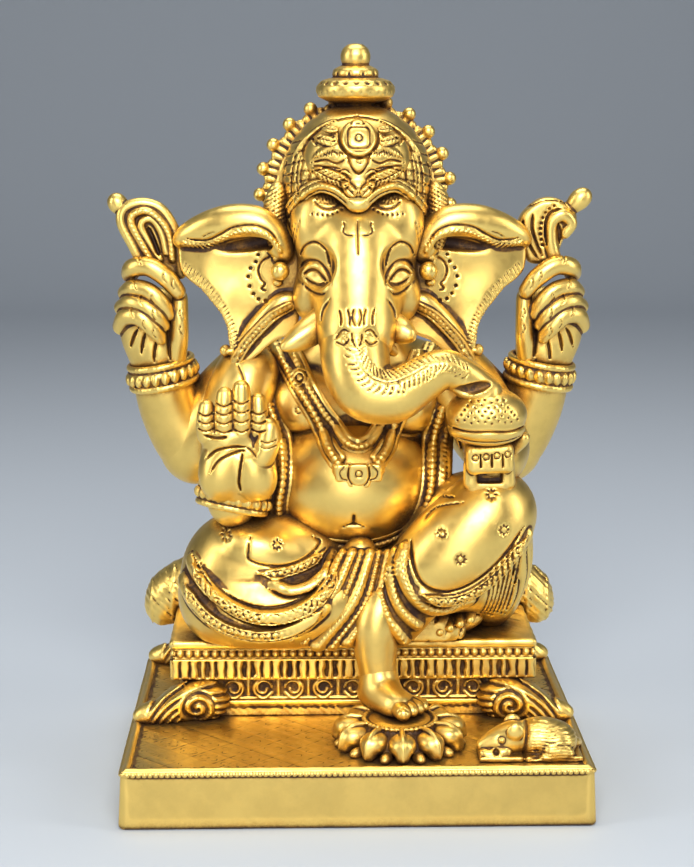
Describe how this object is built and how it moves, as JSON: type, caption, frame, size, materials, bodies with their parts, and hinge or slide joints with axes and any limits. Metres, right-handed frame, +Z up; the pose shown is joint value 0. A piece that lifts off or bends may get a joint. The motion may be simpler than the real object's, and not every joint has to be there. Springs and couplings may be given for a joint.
{
  "type": "ganesha idol",
  "caption": "Seated four-armed elephant-headed brass idol on a footed throne and a rectangular plinth, with a halo, a lotus footrest and a small mouse.",
  "frame": {"origin": "centre of the whole object's footprint, on the plane that the plinth's rim rests on", "axes": "+Z up, the figure faces -Y, and its left side is at +X"},
  "size_m": [0.1514, 0.116, 0.2284],
  "materials": {
    "plinth_brass": "satin brass with dark patina in the engraving",
    "seat_brass": "polished brass with dark patina in the recesses",
    "small_figure_brass": "polished brass with dark patina in the recesses",
    "figure_brass": "polished brass with dark patina in the recesses",
    "fastener_brass": "plain turned brass"
  },
  "bodies": {
    "root": {"plinth": "plinth_brass", "seat_slab": "seat_brass", "seat_bead_rail": "seat_brass", "seat_apron": "seat_brass", "seat_frieze": "seat_brass", "seat_skirt": "seat_brass", "seat_foot_front_right": "seat_brass", "seat_foot_front_left": "seat_brass", "seat_foot_back_right": "seat_brass", "seat_foot_back_left": "seat_brass", "bolster": "seat_brass", "seat_screws": "fastener_brass", "figure_stud": "fastener_brass", "figure_nut": "fastener_brass", "lotus_footrest": "small_figure_brass", "mouse": "small_figure_brass", "torso": "figure_brass", "hips": "figure_brass", "left_shin": "figure_brass", "left_thigh": "figure_brass", "left_ankle": "figure_brass", "left_foot": "figure_brass", "right_leg": "figure_brass", "right_foot": "figure_brass", "robe_pleats": "figure_brass", "rear_right_upper_arm": "figure_brass", "rear_right_forearm": "figure_brass", "rear_right_fist": "figure_brass", "rear_right_bangle": "figure_brass", "rear_left_upper_arm": "figure_brass", "rear_left_forearm": "figure_brass", "rear_left_fist": "figure_brass", "rear_left_bangle": "figure_brass", "noose": "figure_brass", "goad": "figure_brass", "front_right_arm": "figure_brass", "open_palm": "figure_brass", "front_right_bangle": "figure_brass", "front_left_arm": "figure_brass", "holding_hand": "figure_brass", "sweet": "figure_brass", "head": "figure_brass", "trunk": "figure_brass", "right_tusk": "figure_brass", "left_tusk": "figure_brass", "right_ear": "figure_brass", "left_ear": "figure_brass", "ear_studs": "figure_brass", "crown": "figure_brass", "crown_crest": "figure_brass", "crown_rolls": "figure_brass", "crown_finial": "figure_brass", "halo": "figure_brass", "waist_sash": "figure_brass", "right_shawl": "figure_brass", "left_shawl": "figure_brass", "necklace": "figure_brass", "pendant": "figure_brass"}
  },
  "joints": []
}
